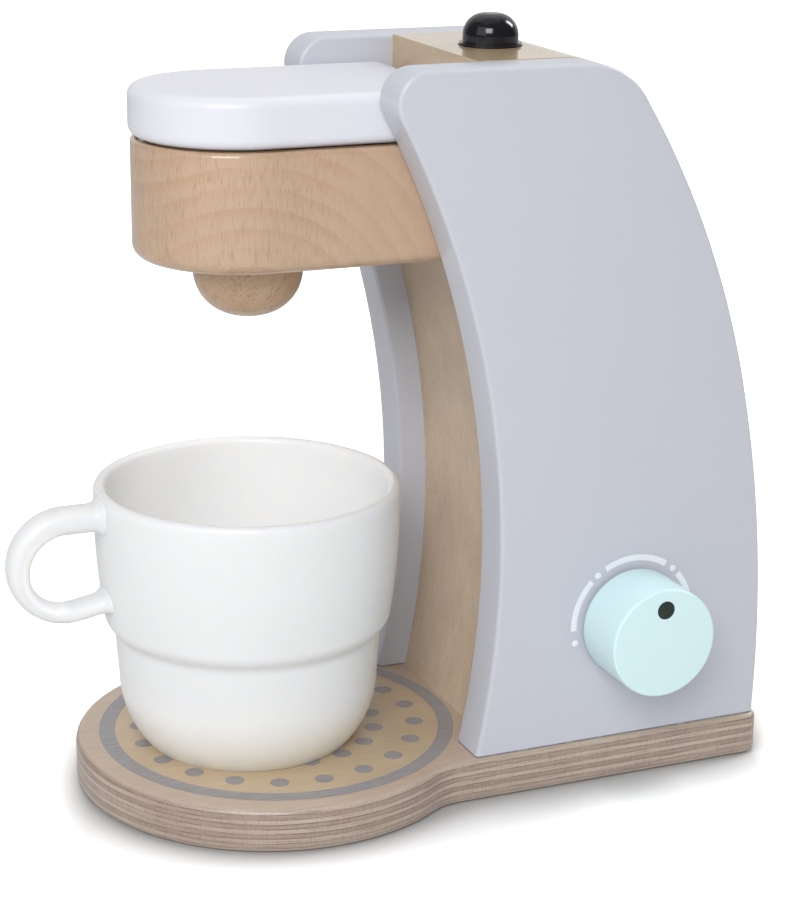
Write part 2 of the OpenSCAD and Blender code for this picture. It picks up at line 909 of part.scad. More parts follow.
base_board();
side_plate_left();
side_plate_right();
front_panel();
back_panel();
base_rail();
brew_arm();
spout();
arm_dowels();
top_block();
block_dowels();
lid();
lid_hinge_pins();
push_button();
button_spring();
knob();
knob_dot();
knob_axle();
knob_washer();
knob_retainer();
cup();
base_screws();
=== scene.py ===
# %% [markdown]
# # A toy coffee maker in plywood, beech, paint and plastic
# This lesson dresses a finished set of solids: a wooden coffee maker for play kitchens. Most of the
# work is finish: satin paint, lacquered beech, a plywood edge with its plies, printed rings and a
# milky plastic. Three forms are finer than their solids and are made anew as meshes: the moulded
# cup, the turned knob and the side plates with their small rounded edges.

# %% Open the solids
import math
import bpy
import bmesh
from mathutils import Matrix, Vector


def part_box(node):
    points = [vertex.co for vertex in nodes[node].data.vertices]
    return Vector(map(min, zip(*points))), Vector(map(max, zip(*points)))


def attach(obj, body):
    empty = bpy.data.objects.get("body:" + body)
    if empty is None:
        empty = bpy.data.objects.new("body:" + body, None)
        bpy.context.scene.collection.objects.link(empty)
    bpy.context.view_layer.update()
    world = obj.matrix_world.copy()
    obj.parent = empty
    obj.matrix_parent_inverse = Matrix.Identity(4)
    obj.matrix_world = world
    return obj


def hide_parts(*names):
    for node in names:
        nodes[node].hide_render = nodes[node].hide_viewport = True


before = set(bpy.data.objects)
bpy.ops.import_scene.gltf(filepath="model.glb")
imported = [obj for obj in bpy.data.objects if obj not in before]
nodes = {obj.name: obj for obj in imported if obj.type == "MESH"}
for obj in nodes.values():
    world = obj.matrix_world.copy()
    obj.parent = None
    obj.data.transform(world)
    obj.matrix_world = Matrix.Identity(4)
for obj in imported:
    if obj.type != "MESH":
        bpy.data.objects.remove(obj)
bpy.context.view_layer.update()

MM = 0.001

# %% [markdown]
# ## The camera
# A product shot is taken with a long lens from a little above. The camera is placed by the
# direction it looks from, then turned by a small roll, so its three axes are worked out as vectors
# and stacked into one matrix. A small shift puts the toy in the frame without turning the camera.

# %% Place the camera
EYE_AT, LENS, SHIFT = (0.55953, -0.24024, 0.27595), 93.57, (-0.00813, 0.02358)
AZIMUTH, ELEVATION, ROLL = 66.585, 17.731, 0.816
scene = bpy.context.scene
scene.view_settings.view_transform = "Standard"


def looking_from(azimuth, elevation, roll):
    """Camera axes for a view from that direction, as a 3 x 3 matrix."""
    az, el, turn = (math.radians(v) for v in (azimuth, elevation, roll))
    back = Vector((math.sin(az) * math.cos(el), -math.cos(az) * math.cos(el), math.sin(el)))
    side = (-back).cross(Vector((0, 0, 1))).normalized()
    top = side.cross(-back)
    right = side * math.cos(turn) + top * math.sin(turn)
    up = top * math.cos(turn) - side * math.sin(turn)
    return Matrix((right, up, back)).transposed()


eye = bpy.data.cameras.new("camera")
eye.lens, eye.sensor_width = LENS, 36
eye.shift_x, eye.shift_y = SHIFT
eye.clip_start, eye.clip_end = 0.05, 20
camera = bpy.data.objects.new("camera", eye)
camera.matrix_world = Matrix.Translation(EYE_AT) @ looking_from(AZIMUTH, ELEVATION, ROLL).to_4x4()
scene.collection.objects.link(camera)
scene.camera = camera
print("camera", [round(v, 3) for v in camera.location])

# %% [markdown]
# ## Writing materials in code
# Every finish here is a small network of shader nodes. Wiring nodes by hand takes many lines, so
# one helper adds a node, fills in its inputs and gives back one output, ready to go into the next.

# %% A helper for shader nodes
class Wiring:
    """Adds shader nodes to one tree. A value that is an output of another node is linked."""

    def __init__(self, tree):
        self.tree = tree

    def add(self, kind, inputs, out=0, **settings):
        made = self.tree.nodes.new("ShaderNode" + kind)
        for name, value in settings.items():
            setattr(made, name, value)
        for name, value in inputs.items():
            socket = made.inputs[name]
            if isinstance(value, bpy.types.NodeSocket):
                self.tree.links.new(value, socket)
            else:
                socket.default_value = value
        return made.outputs[out] if made.outputs else made

    def math(self, operation, a, b=0.0, c=0.0):
        return self.add("Math", {0: a, 1: b, 2: c}, operation=operation)

    def times(self, a, b):
        return self.math("MULTIPLY", a, b)

    def vector(self, operation, a, b=(0, 0, 0), out=0):
        return self.add("VectorMath", {0: a, 1: b}, out, operation=operation)

    def stretch(self, vector, factors):
        """A vector or colour times a factor for each of its parts."""
        return self.vector("MULTIPLY", vector, factors)

    def scaled(self, vector, factor):
        """A vector or colour times one number, which may come from another node."""
        return self.add("VectorMath", {0: vector, "Scale": factor}, operation="SCALE")

    def triple(self, value):
        return self.add("CombineXYZ", {k: value for k in range(3)})

    def part(self, vector, axis):
        return self.add("SeparateXYZ", {"Vector": vector}, axis)

    def noise(self, point, detail, rough=0.5, scale=1.0):
        return self.add("TexNoise", {"Vector": point, "Scale": scale, "Detail": detail,
                                     "Roughness": rough})

    def span(self, value, low, high, to_low=0.0, to_high=1.0):
        """Maps low..high smoothly to to_low..to_high."""
        return self.add("MapRange", {"Value": value, "From Min": low, "From Max": high,
                                     "To Min": to_low, "To Max": to_high},
                        interpolation_type="SMOOTHSTEP")

    def blend(self, share, a, b):
        """Mixes two colours."""
        return self.add("Mix", {0: share, 6: a, 7: b}, 2, data_type="RGBA")

    def bump(self, height, strength, distance=0.1 * MM):
        return self.add("Bump", {"Height": height, "Strength": strength, "Distance": distance})

    def group(self, name, inputs):
        return self.add("Group", inputs, node_tree=bpy.data.node_groups[name])


# %% [markdown]
# ## Groups and materials
# A node group is a recipe that several finishes share, with named inputs and outputs. A material
# ends in one shader. Patterns are measured on the piece itself, in millimetres, so they keep their
# true size and stay on the piece when it moves.

# %% Helpers for groups and materials
def new_group(name, inputs, outputs):
    """A shader node group with named inputs and outputs; gives the wiring, its inputs and end."""
    tree = bpy.data.node_groups.new(name, "ShaderNodeTree")
    kinds = {"vector": "NodeSocketVector", "value": "NodeSocketFloat", "colour": "NodeSocketColor"}
    for label, kind, value in inputs:
        socket = tree.interface.new_socket(label, in_out="INPUT", socket_type=kinds[kind])
        socket.default_value = value
    for label, kind in outputs:
        tree.interface.new_socket(label, in_out="OUTPUT", socket_type=kinds[kind])
    start = tree.nodes.new("NodeGroupInput").outputs
    end = tree.nodes.new("NodeGroupOutput")
    return Wiring(tree), start, end


def finish_group(w, end, **made):
    """Links the results to the group's named outputs."""
    for label, socket in made.items():
        w.tree.links.new(socket, end.inputs[label])
    print("group", w.tree.name, "nodes", len(w.tree.nodes))


def new_material(name):
    """An empty material; gives the material and its wiring."""
    material = bpy.data.materials.new(name)
    material.use_nodes = True
    material.node_tree.nodes.clear()
    return material, Wiring(material.node_tree)


def finish_material(w, shader):
    w.add("OutputMaterial", {"Surface": shader})


def place(w, turn=(0, 0, 0)):
    """The point on the piece in millimetres, turned so that the grain runs along Z."""
    point = w.scaled(w.add("TexCoord", {}, "Object"), 1 / MM)
    if turn != (0, 0, 0):
        angles = [math.radians(a) for a in turn]
        point = w.add("VectorRotate", {"Vector": point, "Rotation": angles},
                      rotation_type="EULER_XYZ")
    return point


def swap(w, point, order):
    """The same point with its coordinates in another order, such as "YZX"."""
    part = w.part(point, "X").node.outputs
    return w.add("CombineXYZ", {k: part[axis] for k, axis in enumerate(order)})


# %% [markdown]
# ## A shared effect: mottling
# Nothing painted or sanded is quite even. One group gives a slow drift of tone and a fine surface
# texture for any finish: each material sets how large and how strong they are.

# %% The mottling group
w, given, end = new_group(
    "mottling",
    [("Point", "vector", (0, 0, 0)), ("Colour", "colour", (1, 1, 1, 1)),
     ("Patch size", "value", 20.0), ("Drift", "value", 0.03), ("Grain size", "value", 0.6)],
    [("Colour", "colour"), ("Patches", "value"), ("Height", "value")])
patch = w.noise(w.vector("DIVIDE", given["Point"], w.triple(given["Patch size"])), 3.0)
grain = w.noise(w.vector("DIVIDE", given["Point"], w.triple(given["Grain size"])), 2.0)
around = w.math("SUBTRACT", patch, 0.5)
shade = w.math("MULTIPLY_ADD", around, w.times(given["Drift"], 2.0), 1.0)
finish_group(w, end, Colour=w.scaled(given["Colour"], shade), Patches=patch, Height=grain)


def mottled(w, point, colour, patch_size, drift, grain_size):
    """The colour with its drift of tone; sizes in millimetres, drift as a share."""
    return w.group("mottling", {"Point": point, "Colour": (*colour, 1), "Patch size": patch_size,
                                "Drift": drift, "Grain size": grain_size})


# %% [markdown]
# ## A shared effect: timber
# Beech and birch both show soft bands of yearly growth and short dark flecks along the grain. The
# bands are rings round the heart of the tree, so the group measures the distance from an axis,
# bends it with noise and cuts it into rings. Flecks are noise squeezed across the grain and
# stretched along it, with only its peaks kept.

# %% The growth ring group
w, given, end = new_group(
    "growth rings",
    [("Point", "vector", (0, 0, 0)), ("Spacing", "value", 4.0), ("Wander", "value", 3.0)],
    [("Band", "value")])
bend = w.noise(w.stretch(w.stretch(given["Point"], (1, 1, 0.12)), (0.03, 0.03, 0.03)), 3.0)
distance = w.vector("LENGTH", w.stretch(given["Point"], (1, 1, 0)), out="Value")
bent = w.math("MULTIPLY_ADD", bend, w.times(given["Wander"], 4.0), distance)
turns = w.math("DIVIDE", bent, given["Spacing"])
saw = w.math("FRACT", turns)
year = w.add("TexWhiteNoise", {"W": w.math("FLOOR", turns)}, noise_dimensions="1D")
edge = w.times(w.span(saw, 0.20, 0.92), w.span(saw, 1.0, 0.92))
faded = w.noise(w.stretch(given["Point"], (0.06, 0.06, 0.02)), 2.0)
band = w.times(edge, w.math("MULTIPLY_ADD", year, 0.75, 0.25))
finish_group(w, end, Band=w.times(band, w.span(faded, 0.30, 0.62, 0.25, 1.0)))

# %% The fleck group
w, given, end = new_group(
    "flecks",
    [("Point", "vector", (0, 0, 0)), ("Width", "value", 0.25), ("Length", "value", 2.5),
     ("Share", "value", 0.3)],
    [("Mask", "value")])
across = w.math("DIVIDE", 1.0, given["Width"])
along = w.math("DIVIDE", 1.0, given["Length"])
squeeze = w.add("CombineXYZ", {"X": across, "Y": across, "Z": along})
squeezed = w.stretch(given["Point"], squeeze)
peaks = w.noise(squeezed, 1.0, scale=0.5)
clumps = w.noise(w.stretch(squeezed, (0.08, 0.08, 0.3)), 1.0)
level = w.math("SUBTRACT", 0.80, w.times(given["Share"], clumps))
finish_group(w, end, Mask=w.span(w.math("SUBTRACT", peaks, level), 0.0, 0.06))

# %% [markdown]
# ## Satin paint
# The side plates, the lid and the knob are wood under a sprayed satin paint. Paint hides the
# grain, so only a faint orange-peel texture and a very slow drift of tone are left. The same
# recipe makes all three colours. Where the plates stand on the base, a thin and ragged dark line
# of dirt and painted shade marks the joint.

# %% Mix the paints
JOINT_DIRT_AND_SHADE = (0.11, 0.12, 0.115, 1)


def satin_paint(name, colour, rough, foot=None):
    """foot: height in mm of the joint under the piece, where a thin dark line of dirt and painted
    shade is left.
    """
    material, w = new_material(name)
    point = place(w)
    tone = mottle = mottled(w, point, colour, 38.0, 0.012, 0.55)
    patches, height = mottle.node.outputs["Patches"], mottle.node.outputs["Height"]
    if foot:
        # Dirt and painted shade: a thin ragged dark line in the joint at the foot.
        above = w.math("SUBTRACT", w.part(point, "Z"), foot)
        line = w.span(above, 0.50, 0.25, 0.0, 0.85)
        ragged = w.noise(w.stretch(point, (0.35, 0.35, 0.0)), 2.0)
        tone = w.blend(w.times(line, w.span(ragged, 0.25, 0.6, 0.55, 1.0)), tone, JOINT_DIRT_AND_SHADE)
    finish_material(w, w.add("BsdfPrincipled", {
        "Base Color": tone, "Roughness": w.span(patches, 0.3, 0.7, rough - 0.03, rough + 0.03),
        "Normal": w.bump(height, 0.05)}))
    print("paint", name)
    return material


grey_paint = satin_paint("light grey satin paint", (0.55, 0.565, 0.63), 0.34, foot=12.0)
white_paint = satin_paint("white satin paint", (0.715, 0.72, 0.78), 0.34)
mint_paint = satin_paint("pale mint satin paint", (0.655, 0.86, 0.89), 0.40)

# %% [markdown]
# ## Lacquered beech
# The arm, the spout and the block on top are solid beech under clear lacquer. Each is cut from the
# tree another way, so each gets its own turn of the grain and its own heart of the rings. The
# lacquer is a thin coat over the wood.

# %% Cut and lacquer the beech
def shaded(colour, shares):
    """A colour with each of its parts times a share, ready for a socket."""
    return (*[c * k for c, k in zip(colour, shares)], 1)


def lacquered_beech(name, colour, rings, flecks, turn=(0, 0, 0), fade=None, coat=(0.6, 0.14)):
    """rings: order of axes, heart, spacing, wander, depth. flecks: width, length, share, depth.
    fade: the flecks die out between two places along Y. coat: weight and roughness."""
    material, w = new_material(name)
    point = place(w, turn)
    order, heart, spacing, wander, ring_depth = rings
    from_heart = w.vector("SUBTRACT", swap(w, place(w), order), (*heart, 0))
    band = w.group("growth rings", {"Point": from_heart, "Spacing": spacing, "Wander": wander})
    mottle = mottled(w, w.stretch(point, (1, 1, 0.25)), colour, 9.0, 0.07, 0.35)
    fibre = w.noise(w.stretch(point, (3.0, 3.0, 0.25)), 3.0)
    width, length, share, depth = flecks
    fleck = w.group("flecks", {"Point": point, "Width": width, "Length": length, "Share": share})
    if fade:
        along_y = w.part(place(w), "Y")
        fleck = w.times(fleck, w.span(along_y, fade[0], fade[1], 1.0, 0.15))
    dark, brown = shaded(colour, (0.80, 0.72, 0.62)), shaded(colour, (0.55, 0.44, 0.34))
    tone = w.blend(w.times(band, ring_depth), mottle, dark)
    tone = w.blend(w.span(fibre, 0.3, 0.7, 0.0, 0.16), tone, dark)
    tone = w.blend(w.times(fleck, depth), tone, brown)
    relief = w.math("SUBTRACT", w.times(fibre, 0.5), w.times(fleck, 0.5))
    finish_material(w, w.add("BsdfPrincipled", {
        "Base Color": tone, "Roughness": w.span(fibre, 0.3, 0.7, 0.37, 0.47),
        "Specular IOR Level": 0.4, "Normal": w.bump(relief, 0.25),
        "Coat Weight": coat[0], "Coat Roughness": coat[1]}))
    print("beech", name)
    return material


beech_arm = lacquered_beech(
    "beech of the arm", (0.52, 0.36, 0.24), ("YZX", (-52, 131), 5.0, 1.5, 0.50),
    (0.11, 1.5, 0.44, 0.34), fade=(-38, -22), coat=(1.0, 0.14))
beech_spout = lacquered_beech(
    "beech of the spout", (0.54, 0.37, 0.235), ("XZY", (30, 90), 3.5, 2.0, 0.4),
    (0.17, 6.0, 0.40, 0.70), turn=(34, 3, 0))
beech_block = lacquered_beech(
    "beech of the top block", (0.53, 0.395, 0.235), ("XZY", (10, 120), 5.0, 2.0, 0.45),
    (0.3, 1.5, 0.26, 0.35), turn=(90, 0, 0), coat=(1.0, 0.07))
beech_plain = lacquered_beech(
    "beech of dowels and rails", (0.57, 0.41, 0.27), ("YZX", (20, 30), 3.0, 2.0, 0.4),
    (0.25, 2.5, 0.30, 0.4), turn=(0, 90, 0))

# %% [markdown]
# ## Birch plywood
# The base is a stack of nine birch plies. On the edge the plies show as stripes: a ply whose grain
# runs along the edge is pale and streaky, and one whose grain points out of the edge shows dark
# end grain. Which is which changes round the curve, so the group compares the direction of the
# surface with the direction of each ply. A thin dark line of glue lies between two plies.

# %% The plies group: which ply a point lies in, and how its grain runs
w, given, end = new_group(
    "plies",
    [("Point", "vector", (0, 0, 0)), ("Normal", "vector", (0, 0, 1)),
     ("Thickness", "value", 12.0), ("Count", "value", 9.0),
     ("Long grain", "colour", (1, 1, 1, 1)), ("End grain", "colour", (0.5, 0.5, 0.5, 1)),
     ("Glue", "colour", (0.2, 0.1, 0.1, 1)), ("Face", "colour", (1, 1, 1, 1))],
    [("Colour", "colour"), ("Edge", "value"), ("Height", "value")])
point, glue = given["Point"], given["Glue"]
long_grain, end_grain = given["Long grain"], given["End grain"]
sway = w.noise(w.stretch(point, (0.02, 0.02, 0.0)), 2.0)
level = w.math("ADD", w.part(point, "Z"), w.math("MULTIPLY_ADD", sway, 0.5, -0.25))
ply = w.times(w.math("DIVIDE", level, given["Thickness"]), given["Count"])
number, place_in = w.math("FLOOR", ply), w.math("FRACT", ply)
odd = w.math("MODULO", number, 2.0)
end_x, end_y, end_z = (w.math("ABSOLUTE", w.part(given["Normal"], axis)) for axis in "XYZ")
even = w.math("SUBTRACT", 1.0, odd)
out_of_edge = w.math("ADD", w.times(odd, end_x), w.times(even, end_y))
cut = w.span(out_of_edge, 0.25, 0.85)
lively = w.add("TexWhiteNoise", {"W": number}, noise_dimensions="1D")

# %% The plies group: streaks, pores, smears and glue
streaks = w.noise(w.stretch(point, (0.08, 0.08, 5.0)), 4.0, 0.6)
pores = w.noise(w.stretch(point, (2.6, 2.6, 1.4)), 3.0, 0.6)
long_tone = w.blend(w.span(streaks, 0.35, 0.7, 0.0, 0.60), long_grain, end_grain)
end_tone = w.blend(w.span(pores, 0.4, 0.7, 0.0, 0.30), end_grain, glue)
tone = w.blend(w.times(cut, w.math("MULTIPLY_ADD", lively, 0.45, 0.55)), long_tone, end_tone)
hatch = w.noise(w.stretch(point, (3.2, 3.2, 0.5)), 2.0, 0.7)
tone = w.blend(w.span(hatch, 0.45, 0.70, 0.0, 0.30), tone, glue)
smear = w.noise(w.stretch(point, (0.05, 0.05, 2.4)), 3.0, 0.7)
tone = w.blend(w.span(smear, 0.52, 0.70, 0.0, 0.50), tone, glue)
tone = w.blend(w.span(smear, 0.44, 0.30, 0.0, 0.45), tone, long_grain)
near = w.math("MINIMUM", place_in, w.math("SUBTRACT", 1.0, place_in))
break_up = w.noise(w.stretch(point, (0.15, 0.15, 0.0)), 2.0)
line = w.times(w.span(near, 0.13, 0.04), w.span(break_up, 0.30, 0.62, 0.15, 0.75))
tone = w.blend(line, tone, glue)
on_face = w.span(end_z, 0.80, 0.97)
finish_group(w, end, Colour=w.blend(on_face, tone, given["Face"]),
             Edge=w.math("SUBTRACT", 1.0, on_face),
             Height=w.math("SUBTRACT", w.times(pores, 0.4), line))

# %% [markdown]
# ## The base board
# The grain of the top veneer runs from front to back, and inside the printed ring it is a shade
# warmer. One clear lacquer covers the top and the edge.

# %% Lay the veneer and lacquer the base
RING_MIDDLE = (0, -37, 0)
birch_base, w = new_material("lacquered birch plywood")
point = place(w)
veneer = mottled(w, w.stretch(point, (1, 0.3, 1)), (0.525, 0.41, 0.325), 11.0, 0.10, 0.5)
fibre = w.noise(w.stretch(point, (2.4, 0.12, 2.4)), 4.0, 0.6)
veneer = w.blend(w.span(fibre, 0.35, 0.72, 0.0, 0.30), veneer, (0.34, 0.23, 0.15, 1))
across = w.stretch(w.vector("SUBTRACT", point, RING_MIDDLE), (1, 1, 0))
inside_ring = w.span(w.vector("LENGTH", across, out="Value"), 50.0, 40.0, 0.0, 0.75)
veneer = w.blend(inside_ring, veneer, w.stretch(veneer, (1.10, 1.10, 0.86)))
plies = w.group("plies", {
    "Point": point, "Normal": w.add("TexCoord", {}, "Normal"), "Thickness": 12.0, "Count": 9.0,
    "Long grain": (0.55, 0.455, 0.38, 1), "End grain": (0.36, 0.265, 0.21, 1),
    "Glue": (0.15, 0.085, 0.07, 1), "Face": veneer})
relief = w.times(plies.node.outputs["Height"], plies.node.outputs["Edge"])
finish_material(w, w.add("BsdfPrincipled", {
    "Base Color": plies, "Roughness": w.span(fibre, 0.3, 0.7, 0.42, 0.52),
    "Normal": w.bump(relief, 0.4), "Coat Weight": 0.6, "Coat Roughness": 0.28}))
print("base", birch_base.name)

# %% [markdown]
# ## Bent birch panels
# The panels between the plates are three thin veneers pressed in a mould. Their grain runs up the
# panel, and rotary-cut birch has cloudy patches and tiny brown pin flecks. Light and shade are
# painted into the sheet: it is painted lighter at its foot, for the light bounced up from the
# floor, and darker under the arm, where its shade falls.

# %% Finish the bent panels
birch_panel, w = new_material("bent birch veneer")
point = place(w)
cloud = mottled(w, w.stretch(point, (1, 1, 0.55)), (0.585, 0.468, 0.35), 10.0, 0.20, 0.4)
fibre = w.noise(w.stretch(point, (2.2, 0.3, 0.16)), 4.0, 0.6)
# Painted light: a lighter copy for the bounce light at the foot, a darker one for the shade under
# the arm.
painted_bounce_light, dark = (w.stretch(cloud, (k, k, k)) for k in (1.14, 0.84))
cloud = w.blend(w.span(w.part(point, "Z"), 60.0, 150.0), painted_bounce_light, dark)
tone = w.blend(w.span(fibre, 0.35, 0.72, 0.0, 0.20), cloud, (0.40, 0.28, 0.18, 1))
pins = w.group("flecks", {"Point": point, "Width": 0.35, "Length": 1.2, "Share": 0.28})
tone = w.blend(w.times(pins, 0.25), tone, (0.25, 0.15, 0.09, 1))
finish_material(w, w.add("BsdfPrincipled", {
    "Base Color": tone, "Roughness": w.span(fibre, 0.3, 0.7, 0.48, 0.58),
    "Normal": w.bump(fibre, 0.2), "Coat Weight": 0.12, "Coat Roughness": 0.3}))
print("panel", birch_panel.name)

# %% [markdown]
# ## Cup plastic
# The cup is a milky moulded plastic: light enters it and comes out close by, which softens its
# shadows, so it gets a little subsurface scattering. Its foot is painted a creamy tint, a painted
# reflection of the warm light that the wooden base throws up, and the inside is painted whiter,
# painted light for the light that crosses it again and again. Inside and outside are told apart
# by whether the surface faces the cup's axis.

# %% Mould the cup plastic
CUP_AXIS_Y = -45.3
cup_plastic, w = new_material("cream cup plastic")
point = place(w)
milk = mottled(w, point, (0.775, 0.79, 0.805), 30.0, 0.01, 0.8)
patches, height = milk.node.outputs["Patches"], milk.node.outputs["Height"]
from_axis = w.stretch(w.vector("SUBTRACT", point, (0, CUP_AXIS_Y, 0)), (1, 1, 0))
spoke = w.vector("NORMALIZE", from_axis)
outward = w.vector("DOT_PRODUCT", spoke, w.add("TexCoord", {}, "Normal"), out="Value")
# Painted reflection: the foot is tinted cream for the warm light bounced up from the wooden base.
foot = w.blend(w.span(w.part(point, "Z"), 36.0, 14.0), milk, (0.89, 0.87, 0.82, 1))
# Painted light: the inside is whiter, standing in for the light that crosses it again and again.
tone = w.blend(w.span(outward, 0.15, -0.25), foot, (0.98, 0.985, 0.985, 1))
finish_material(w, w.add("BsdfPrincipled", {
    "Base Color": tone, "Roughness": w.span(patches, 0.3, 0.7, 0.30, 0.34),
    "Normal": w.bump(height, 0.03), "Subsurface Weight": 0.75,
    "Subsurface Radius": (1.0, 0.93, 0.62), "Subsurface Scale": 0.0045}))
print("cup", cup_plastic.name)

# %% [markdown]
# ## Small plastics and steel
# The button is a polished black dome, the dot on the knob a matte inlay and the washer nylon: one
# recipe with three colours. Screws, pins and the spring are zinc plated steel with fine brushed
# scratches.

# %% Polish the button and cut the inlay
def hard_plastic(name, colour, rough, scratch):
    material, w = new_material(name)
    mottle = mottled(w, place(w), colour, 6.0, 0.15, 0.5)
    patches, height = mottle.node.outputs["Patches"], mottle.node.outputs["Height"]
    finish_material(w, w.add("BsdfPrincipled", {
        "Base Color": mottle, "Roughness": w.span(patches, 0.3, 0.7, rough * 0.8, rough * 1.2),
        "Normal": w.bump(height, scratch)}))
    print("plastic", name)
    return material


black_plastic = hard_plastic("polished black plastic", (0.012, 0.012, 0.016), 0.14, 0.05)
black_inlay = hard_plastic("matte black inlay", (0.010, 0.020, 0.012), 0.5, 0.10)
nylon = hard_plastic("natural nylon", (0.78, 0.78, 0.74), 0.5, 0.08)

# %% Plate the steel
zinc_steel, w = new_material("zinc plated steel")
brushed = w.noise(w.stretch(place(w), (0.5, 6.0, 6.0)), 3.0)
tone = w.blend(w.span(brushed, 0.3, 0.7), (0.52, 0.53, 0.55, 1), (0.66, 0.66, 0.67, 1))
finish_material(w, w.add("BsdfPrincipled", {
    "Base Color": tone, "Metallic": 1.0, "Roughness": w.span(brushed, 0.3, 0.7, 0.30, 0.40),
    "Normal": w.bump(brushed, 0.15, 0.05 * MM)}))
print("steel", zinc_steel.name)

# %% [markdown]
# ## Which piece gets which finish
# The solids keep their shapes: only the material in their slot changes. The few pieces that are
# made anew further on start from the same finishes.

# %% Dress the solids
finishes = {
    birch_base: ["base_board"],
    grey_paint: ["side_plate_left", "side_plate_right"],
    birch_panel: ["front_panel", "back_panel"],
    beech_arm: ["brew_arm"],
    beech_spout: ["spout"],
    beech_block: ["top_block"],
    beech_plain: ["base_rail", "arm_dowels", "block_dowels", "knob_axle", "knob_retainer"],
    white_paint: ["lid"],
    mint_paint: ["knob"],
    black_plastic: ["push_button"],
    black_inlay: ["knob_dot"],
    nylon: ["knob_washer"],
    cup_plastic: ["cup"],
    zinc_steel: ["lid_hinge_pins", "button_spring", "base_screws"],
}
for finish, names in finishes.items():
    for name in names:
        nodes[name].data.materials[0] = finish
print("dressed", sum(len(names) for names in finishes.values()), "of", len(nodes))

# %% [markdown]
# ## Round edges that read as round
# The rounded edges of the base and the wire of the spring are made of narrow flat strips. Shading
# can blend the strips into one curve: the points of neighbouring faces are merged, every face is
# set smooth, and edges sharper than a limit stay crisp. A small geometry node group does this
# without touching the solid itself.

# %% Blend the strips
WELD, CRISP_ANGLE = 0.002 * MM, 40
soften = bpy.data.node_groups.new("blend flat strips", "GeometryNodeTree")
soften.interface.new_socket("Geometry", in_out="INPUT", socket_type="NodeSocketGeometry")
soften.interface.new_socket("Geometry", in_out="OUTPUT", socket_type="NodeSocketGeometry")
g_in, g_out = soften.nodes.new("NodeGroupInput"), soften.nodes.new("NodeGroupOutput")
merge = soften.nodes.new("GeometryNodeMergeByDistance")
merge.inputs["Distance"].default_value = WELD
smooth_all = soften.nodes.new("GeometryNodeSetShadeSmooth")
crisp = soften.nodes.new("GeometryNodeSetShadeSmooth")
crisp.domain = "EDGE"
crisp.inputs["Shade Smooth"].default_value = False
angle = soften.nodes.new("GeometryNodeInputMeshEdgeAngle")
limit = soften.nodes.new("FunctionNodeCompare")
limit.operation = "GREATER_THAN"
limit.inputs["B"].default_value = math.radians(CRISP_ANGLE)
for a, b in ((g_in.outputs[0], merge.inputs[0]), (merge.outputs[0], smooth_all.inputs[0]),
             (smooth_all.outputs[0], crisp.inputs[0]),
             (angle.outputs["Unsigned Angle"], limit.inputs["A"]),
             (limit.outputs[0], crisp.inputs["Selection"]), (crisp.outputs[0], g_out.inputs[0])):
    soften.links.new(a, b)

for name in ("base_board", "button_spring"):
    solid = nodes[name]
    with bpy.context.temp_override(object=solid, active_object=solid, selected_objects=[solid]):
        bpy.ops.mesh.customdata_custom_splitnormals_clear()
    solid.modifiers.new("blend strips", "NODES").node_group = soften
    print("blended", name)

# %% [markdown]
# ## The cup
# The cup is moulded in one: a thin wall with a round lip, a soft step half way down, a round foot,
# and a ring handle that is thinner below and widens where it meets the wall. The body is a turned
# form, so its half section is written once, from arcs that touch each other. The step is two
# touching arcs: the upper wall turns in over the first and runs down out of the second, and the
# foot is one large arc.

# %% The section of the cup
CUP_HEIGHT, CUP_RADIUS, CUP_WALL = 72.2, 40.7, 3.2
WALL_CURVE, WIDEST, TURN_AT, TURN_R, HOLLOW_R = 192.0, 65.0, 37.4, 6.0, 4.0
STEP, TAPER, FOOT_R, FOOT_AT = 2.9, 0.9, 27.4, 18.4
FOOT_HOLLOW, FOOT_DEPTH, LIP_IN = 24.0, 0.8, 0.08
WALL_STEPS = 12


def wall_at(z):
    """Outer radius of the upper wall at that height over the foot."""
    return CUP_RADIUS - WALL_CURVE + math.sqrt(WALL_CURVE ** 2 - (z - WIDEST) ** 2)


def arc(centre, radius, start, stop, steps):
    """Points of an arc in the plane of radius and height, angles in degrees."""
    at = [math.radians(start + (stop - start) * i / steps) for i in range(steps + 1)]
    return [(centre[0] + radius * math.cos(a), centre[1] + radius * math.sin(a)) for a in at]


def cup_side(inset):
    """The wall from foot to lip, moved inwards by the inset."""
    turn_x = wall_at(TURN_AT)
    low_x = turn_x - STEP
    curves = TURN_R + HOLLOW_R
    turn_c = (turn_x - TURN_R, TURN_AT)
    hollow_c = (low_x + HOLLOW_R, TURN_AT - math.sqrt(curves ** 2 - (curves - STEP) ** 2))
    meet = math.degrees(math.atan2(turn_c[1] - hollow_c[1], turn_c[0] - hollow_c[0]))
    foot_c, foot_r = (low_x - TAPER - FOOT_R, FOOT_AT), FOOT_R - inset
    lowest = math.degrees(math.asin((inset - FOOT_AT) / foot_r))
    side = arc(foot_c, foot_r, lowest, 0, 14)
    side += arc(hollow_c, HOLLOW_R + inset, 180, meet, 10)
    side += arc(turn_c, TURN_R - inset, meet - 180, 0, 10)[1:]
    top = CUP_HEIGHT - CUP_WALL / 2
    rises = [TURN_AT + (top - TURN_AT) * i / WALL_STEPS for i in range(1, WALL_STEPS + 1)]
    return side + [(wall_at(z) - inset, z) for z in rises]


